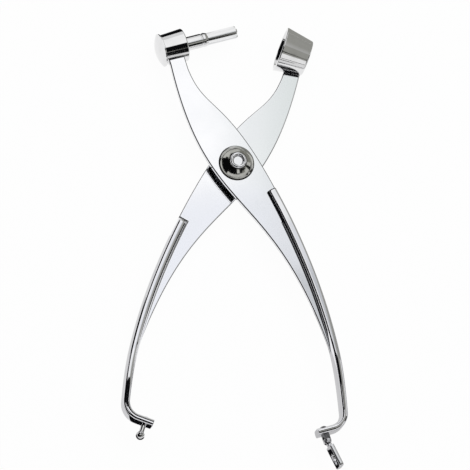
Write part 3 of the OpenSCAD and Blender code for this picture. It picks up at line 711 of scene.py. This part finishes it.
def spring_rings():
    """Return spring: a round wire along a helix that climbs evenly from the back plate to the front one, with a quarter
    bend at each end and a straight tip in the plate's hole."""
    half, r, to, bend = SPRING_HALF, WIRE_D / 2, SPRING_TO, TIP_BEND
    radial = lambda a: np.concatenate([way(a), np.zeros((*np.shape(a), 1))], -1)
    along = lambda a: radial(np.asarray(a) + 90.0)
    up = np.array([0, 0, 1.0])
    a = np.linspace(SPRING_FROM, to, 145)
    coil = COIL_R * radial(a) + up * (-half + 2 * half * (a - SPRING_FROM) / (to - SPRING_FROM))[:, None]
    b = np.radians(np.linspace(0, 90, 10))[1:, None]
    last = coil[-1] + bend * (np.sin(b) * along(to) + (1 - np.cos(b)) * up)
    first = (coil[0] - bend * (np.sin(b) * along(SPRING_FROM) + (1 - np.cos(b)) * up))[::-1]
    reach = FACE_OUT - TIP_SHORT
    end, start = last[-1] * [1, 1, 0] + up * reach, first[0] * [1, 1, 0] - up * reach
    path = np.concatenate([start[None], first, coil, last, end[None]])
    turn = np.concatenate([np.full(10, SPRING_FROM), a, np.full(10, to)])
    lead = np.gradient(path, axis=0)
    lead[[0, 1, -1, -2]] = up
    lead /= np.linalg.norm(lead, axis=1, keepdims=True)
    u = radial(turn)
    v = np.cross(lead, u)
    k = whole_turn(12)[None, :, None]
    return path[:, None] + r * (np.cos(k) * u[:, None] + np.sin(k) * v[:, None])


class PITTER_OT_pivot(bpy.types.Operator):
    """Makes the rivet, the dome washers and the return spring"""
    bl_idname = "pitter.pivot"
    bl_label = "Pivot"

    def execute(self, context):
        profile = dome_line()
        points, faces = turned(profile, True)
        height = profile[:, 1]
        # Painted shade: dark on the land under the rolled ring and towards the washer's foot
        dark = np.where(height > WASHER_H - 0.01, 1, np.clip((PAINTED_SHADE_TOP - height) / PAINTED_SHADE_FADE, 0, 1))
        marks = np.repeat(dark, len(points) // len(profile))
        for name, node, up, back in (("front_dome", "front_dome_washer", FACE_OUT + AXIAL_PLAY, False),
                                     ("back_dome", "back_dome_washer", FACE_OUT, True)):
            piece(name, (points + [0, 0, up], faces), "cup_lever", [node], "nickel_plated_washer",
                  back, marks)
        piece("rolled_pivot_rivet", turned(rivet_line()), "cup_lever", ["pivot_rivet"],
              "chrome_plated_rail")
        wire = piece("coiled_return_spring", capped_tube(spring_rings()), None, ["return_spring"],
                     "drawn_spring_steel")
        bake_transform(wire)
        refinish(["pivot_bush"], "dull_zinc_steel")
        return {"FINISHED"}


# ---- the catch
def clinch_line():
    """Lower end of a foot rivet: a clinched head under the foot, then its shank."""
    under = -RAIL_FOOT_T
    low = under - CLINCH_H
    return [[0, low], [CLINCH_R / 2, low], [CLINCH_R - 0.1, under - 0.1], [CLINCH_R, under], [NECK_D / 2, under]]


class PITTER_OT_catch(bpy.types.Operator):
    """Makes the ball stud and the keyhole catch with its pin, and finishes its bracket"""
    bl_idname = "pitter.catch"
    bl_label = "Catch"

    def execute(self, context):
        n, b = NECK_D / 2, BALL_D / 2
        ball_at = NECK_LEN + math.sqrt(b * b - n * n)
        a = np.linspace(-math.acos(n / b), math.pi / 2, 40)
        ball = np.stack([b * np.cos(a), ball_at + b * np.sin(a)], -1)
        stud = turned(np.concatenate([clinch_line(), [[n, 0], [n, NECK_LEN - 0.05]], ball]), steps=48)
        piece("ball_catch_stud", placed(FOOT, stud), "cup_lever", ["ball_stud"],
              "chrome_plated_turned_brass", True)

        w, k = CATCH_W / 2, TONGUE_W / 2
        line = rounded([[0, -k], [CATCH_WIDE, -k], [CATCH_WIDE, -w], [CATCH_LEN, -w], [CATCH_LEN, w], [CATCH_WIDE, w],
                        [CATCH_WIDE, k], [0, k]], [0, 0.15, 0.4, 0.9, 0.9, 0.4, 0.15, 0])
        reach = math.degrees(math.asin(SLOT_R / KEY_R))
        key = np.concatenate([np.array([KEY_AT, 0]) + KEY_R * way(np.linspace(reach, 360 - reach, 40)),
                              np.array([SLOT_AT, 0]) + SLOT_R * way(np.linspace(-90, 90, 20))])
        flat, faces = sheet(line, [key], -CATCH_T / 2, CATCH_T / 2, CATCH_EDGE, np.ones(len(line)))
        bore, r = PIN_R + RUN_FIT, KNUCKLE_R
        knuckle = turned(rounded([[bore, -k], [r, -k], [r, k], [bore, k]], [0, 0.15, 0.15, 0]), True, 48)
        bar = joined(placed(PIN, (flat[:, [0, 2, 1]], faces)), placed(PIN, knuckle))
        piece("keyhole_catch_bar", bar, "catch_bar", ["catch"], "chrome_plated_rail")

        h = BRACKET_W / 2
        out = h + PIN_HEAD_H
        pin = turned(rounded([[0, -out], [PIN_R, -out], [PIN_HEAD_R, -h], [PIN_R, -h], [PIN_R, h], [PIN_HEAD_R, h],
                              [PIN_R, out], [0, out]], [0, 0.12, 0.05, 0, 0, 0.05, 0.12, 0]), steps=32)
        piece("headed_catch_pin", placed(PIN, pin), "plunger_lever", ["catch_pin"], "bright_steel_pin")
        refinish(["catch_bracket", "plunger_nut"], "dull_zinc_steel")
        return {"FINISHED"}


# ---- the stage, in metres
SENSOR, LAMP_AT, LAMP_SIZE, LAMP_W = 36.0, (0.1, 0.3, 0.9), (0.9, 0.7), 4.0
# The floor's half width and height, and the share of white that the camera and gloss see of it
FLOOR_REACH, FLOOR_Z, FLOOR_WHITE = 30, -0.0006, 0.96
# Heights of the cards on the floor, one over the other, and of the softbox and the cards under it
LAID, LAID_2, LAID_3 = -0.0003, -0.0002, -0.0001
SOFTBOX_Z, HUNG, HUNG_2 = 0.6, 0.594, 0.59
BLACK, DARK, GREY, WHITE = "#0c0c0e", "#0e0e10", "#9c9c97", "#ffffff"
TO_RIGHT, TO_LEFT, TO_BACK, TO_FRONT, TO_UP, TO_DOWN = (
    (1, 0, 0), (-1, 0, 0), (0, 1, 0), (0, -1, 0), (0, 0, 1), (0, 0, -1))
# Softbox from left to right and from front to back: span of its ramp, then colours by their share of the span
SOFTBOX_ACROSS = (-0.4, 0.6), ((0.0, BLACK), (0.19, BLACK), (0.24, WHITE), (0.505, WHITE), (0.54, "#dde2e0"),
                               (0.65, "#b4b4b2"), (0.8, "#9a9a95"))
SOFTBOX_ALONG = (-0.2, 0.3), ((0.0, BLACK), (0.45, BLACK), (0.5, WHITE))
# Plain cards that the metal mirrors: name, centre, way it faces, size, colour, and its turn in degrees
CARDS = (
    ("card_left", (-0.5, -0.1, 0.3), TO_RIGHT, (0.8, 1.4), DARK),
    ("card_left_near", (-0.125, 0.02, 0.09), TO_RIGHT, (0.16, 0.06), DARK),
    ("card_front", (0.0, -0.5, 0.42), TO_BACK, (1.4, 0.36), DARK),
    ("card_front_low", (0.0, -0.5, 0.012), TO_BACK, (1.4, 0.024), DARK),
    ("fill_front", (0.14, -0.49, 0.43), TO_BACK, (0.16, 0.34), "#f6f6f6"),
    ("fill_front_right", (0.56, -0.49, 0.33), TO_BACK, (0.28, 0.18), GREY),
    ("ceiling_right_grey", (0.164, 0.1065, HUNG), TO_DOWN, (0.072, 0.057), "#c6c9cc"),
    ("ceiling_right_pale", (0.164, 0.1525, HUNG), TO_DOWN, (0.072, 0.035), "#e7e9ec"),
    ("ceiling_low_pale", (0.094, 0.135, HUNG), TO_DOWN, (0.068, 0.07), "#f3f5fa"),
    ("ceiling_catch_white", (0.153, 0.062, HUNG), TO_DOWN, (0.04, 0.028), WHITE),
    ("ceiling_left_white", (-0.21, -0.065, HUNG), TO_DOWN, (0.14, 0.19), WHITE),
    ("fill_front_top", (0.175, -0.48, HUNG_2), TO_DOWN, (0.09, 0.24), GREY),
    ("fill_right_top", (0.55, -0.145, HUNG_2), TO_DOWN, (0.7, 0.37), GREY),
    ("card_right", (0.65, 0.45, 0.3), TO_LEFT, (0.6, 1.9), GREY),
    ("card_right_dark", (0.64, -0.1, 0.08), TO_LEFT, (0.16, 0.7), DARK),
    ("card_back_right", (0.65, 1.0, 0.25), TO_FRONT, (0.7, 0.52), GREY),
    # Dark card over the rail's bend, seen only in reflections: painted shade in the bend
    ("card_over_bend", (-0.013, -0.0765, 0.045), TO_DOWN, (0.09, 0.025), DARK),
    ("floor_back_dark", (-0.24, 0.36, LAID), TO_UP, (0.5, 0.6), DARK),
    ("floor_back_grey", (0.26, 0.36, LAID), TO_UP, (0.5, 0.6), GREY),
    # Grey card beside the right rail, seen only in reflections: painted shade of the rail on the floor
    ("floor_right_grey", (0.09, -0.1, LAID), TO_UP, (0.07, 0.3), "#b4b4b4"),
    ("floor_right_dark", (0.375, -0.1, LAID), TO_UP, (0.5, 0.3), DARK),
    # Cards under and beside the tool, seen only in reflections: painted shade of the floor round the tool
    ("floor_grip_grey", (0.0355, -0.0745, LAID_2), TO_UP, (0.019, 0.053), "#d2d2d2"),
    ("floor_left_grey", (-0.042, -0.062, LAID_2), TO_UP, (0.036, 0.084), "#d8d8d8"),
    ("floor_bend_dark", (-0.012, -0.0895, LAID_2), TO_UP, (0.024, 0.029), DARK),
    ("floor_foot_dark", (-0.0357, -0.1276, LAID_2), TO_UP, (0.08, 0.04), DARK, -18),
    ("floor_catch_dark", (0.0354, -0.114, LAID_3), TO_UP, (0.0085, 0.0034), DARK, -63),
    ("floor_catch_grey", (0.04, -0.116, LAID_2), TO_UP, (0.046, 0.03), "#c4c4c4"),
)


def either(tree, one, other):
    """Socket of the larger of two values."""
    return add(tree, "Math", {"operation": "MAXIMUM"}, None, {0: one, 1: other}).outputs["Value"]


def seen_white(tree):
    """1 for the rays of the camera, of gloss and of glass, which see a white studio, and 0 for the rest."""
    ray = add(tree, "LightPath").outputs
    return either(tree, either(tree, ray["Is Camera Ray"], ray["Is Glossy Ray"]), ray["Is Transmission Ray"])


def ramp(tree, value, span, stops):
    """Socket of a colour that follows a value over its span, through stops of share and colour."""
    share = add(tree, "MapRange", None, {"From Min": span[0], "From Max": span[1]}, {"Value": value})
    node = add(tree, "ValToRGB", None, None, {"Fac": share.outputs["Result"]})
    band = node.color_ramp.elements
    while len(band) < len(stops):
        band.new(0.5)
    for stop, (where, text) in zip(band, stops):
        stop.position, stop.color = where, linear(text)
    return node.outputs["Color"]


def quad(name, mat, corners):
    """One flat four-cornered face."""
    mesh = bpy.data.meshes.new(name)
    mesh.from_pydata(np.asarray(corners).tolist(), [], [[0, 1, 2, 3]])
    mesh.materials.append(mat)
    return put(name, mesh)


def stage_card(name, mat, corners):
    """Flat card of the studio, which only gloss sees."""
    obj = quad(name, mat, corners)
    obj.visible_camera = obj.visible_diffuse = obj.visible_shadow = obj.visible_transmission = False


def card(name, centre, normal, size, text, lean=0.0):
    """Plain card of one colour: a rectangle round its centre, square to its normal and turned about it by lean."""
    mat, tree, out = new_material(name)
    glow = add(tree, "Emission", None, {"Color": linear(text), "Strength": 1.0})
    tree.links.new(glow.outputs["Emission"], out.inputs["Surface"])
    face = Vector(normal).normalized().to_track_quat("Z", "Y").to_matrix()
    turn = np.array(face @ Matrix.Rotation(math.radians(lean), 3, "Z"))
    corners = np.array([[-1, -1, 0], [1, -1, 0], [1, 1, 0], [-1, 1, 0]]) * [size[0] / 2, size[1] / 2, 0]
    stage_card(name, mat, corners @ turn.T + np.array(centre))


def ceiling():
    """Softbox over the tool: white over its left and back, fading to grey on the right and to black in front."""
    mat, tree, out = new_material("softbox_card")
    place = add(tree, "TexCoord").outputs["Object"]
    axes = add(tree, "SeparateXYZ", None, None, {"Vector": place}).outputs
    across, along = ramp(tree, axes["X"], *SOFTBOX_ACROSS), ramp(tree, axes["Y"], *SOFTBOX_ALONG)
    both = add(tree, "Mix", {"data_type": "RGBA", "blend_type": "MULTIPLY"}, {0: 1.0}, {6: across, 7: along})
    glow = add(tree, "Emission", None, {"Strength": 1.06}, {"Color": both.outputs[2]})
    tree.links.new(glow.outputs["Emission"], out.inputs["Surface"])
    corners = [[-0.6, -0.6], [1.0, -0.6], [1.0, 1.2], [-0.6, 1.2]]
    stage_card("softbox_card", mat, [[*corner, SOFTBOX_Z] for corner in corners])


class PITTER_OT_stage(bpy.types.Operator):
    """Makes the pale floor, the soft light, the cards round the tool and the camera"""
    bl_idname = "pitter.stage"
    bl_label = "Stage"

    def execute(self, context):
        scene, stage = context.scene, context.scene.pitter_stage
        mat, tree, out = new_material("pale_floor")
        share = add(tree, "Math", {"operation": "MULTIPLY"}, {1: FLOOR_WHITE}, {0: seen_white(tree)})
        paint = add(tree, "BsdfDiffuse", None, {"Color": linear("#f4f4f4")})
        white = add(tree, "Emission", None, {"Strength": 1.0})
        mix = add(tree, "MixShader", None, None, {0: share.outputs[0], 1: paint.outputs[0], 2: white.outputs[0]})
        tree.links.new(mix.outputs["Shader"], out.inputs["Surface"])
        r, z = FLOOR_REACH, FLOOR_Z
        floor = quad("floor", mat, [(-r, -r, z), (r, -r, z), (r, r, z), (-r, r, z)])

        world = bpy.data.worlds.new("studio")
        scene.world = world
        world.use_nodes = True
        tree = world.node_tree
        tree.nodes.clear()
        out = add(tree, "OutputWorld")
        room = add(tree, "Background", None, {"Color": linear("#e8e8ea"), "Strength": 0.6})
        white = add(tree, "Background", None, {"Strength": 1.0})
        mix = add(tree, "MixShader", None, None, {0: seen_white(tree), 1: room.outputs[0], 2: white.outputs[0]})
        tree.links.new(mix.outputs["Shader"], out.inputs["Surface"])

        ceiling()
        for row in CARDS:
            card(*row)

        lamp = bpy.data.lights.new("softbox", "AREA")
        lamp.shape, lamp.size, lamp.size_y, lamp.energy = "RECTANGLE", *LAMP_SIZE, LAMP_W
        box = put("softbox", lamp)
        box.location = LAMP_AT
        box.rotation_mode = "QUATERNION"
        box.rotation_quaternion = Vector(LAMP_AT).to_track_quat("Z", "Y")
        box.visible_camera = box.visible_glossy = False

        right, up, back = (0.981, 0, 0.193), (-0.0554, 0.958, 0.2815), (-0.185, -0.287, 0.940)
        lens = bpy.data.cameras.new("camera")
        lens.lens, lens.sensor_width = stage.lens, SENSOR
        lens.clip_start, lens.clip_end = 0.01, 20
        away = stage.frame_width * stage.lens / SENSOR
        camera = put("camera", lens)
        turn = Matrix((right, up, back)).transposed()
        camera.rotation_mode = "QUATERNION"
        camera.rotation_quaternion = turn.to_quaternion()
        camera.location = Vector(stage.aim) + away * Vector(back)
        scene.camera = camera
        scene.view_settings.view_transform = "Standard"
        return {"FINISHED"}


class PITTER_PT_panel(bpy.types.Panel):
    """Lists the steps that dress the tool"""
    bl_idname = "PITTER_PT_panel"
    bl_label = "Cherry pitter"
    bl_space_type = "VIEW_3D"
    bl_region_type = "UI"
    bl_category = "Pitter"

    def draw(self, context):
        for step in OPERATORS:
            self.layout.operator(step.bl_idname)
        for group in (context.scene.pitter_finish, context.scene.pitter_sizes, context.scene.pitter_stage):
            box = self.layout.box()
            for key in group.__annotations__:
                box.prop(group, key)


OPERATORS = (PITTER_OT_levers, PITTER_OT_cup, PITTER_OT_plunger, PITTER_OT_pivot, PITTER_OT_catch, PITTER_OT_stage)
GROUPS = {"pitter_finish": PitterFinish, "pitter_sizes": PitterSizes, "pitter_stage": PitterStage}


def register():
    for cls in (*GROUPS.values(), *OPERATORS, PITTER_PT_panel):
        bpy.utils.register_class(cls)
    for key, cls in GROUPS.items():
        setattr(bpy.types.Scene, key, bpy.props.PointerProperty(type=cls))


def unregister():
    for key in GROUPS:
        delattr(bpy.types.Scene, key)
    for cls in (PITTER_PT_panel, *reversed(OPERATORS), *reversed(GROUPS.values())):
        bpy.utils.unregister_class(cls)


def main():
    """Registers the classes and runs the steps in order."""
    register()
    for step in OPERATORS:
        group, name = step.bl_idname.split(".")
        getattr(getattr(bpy.ops, group), name)()


if __name__ == "__main__":
    main()
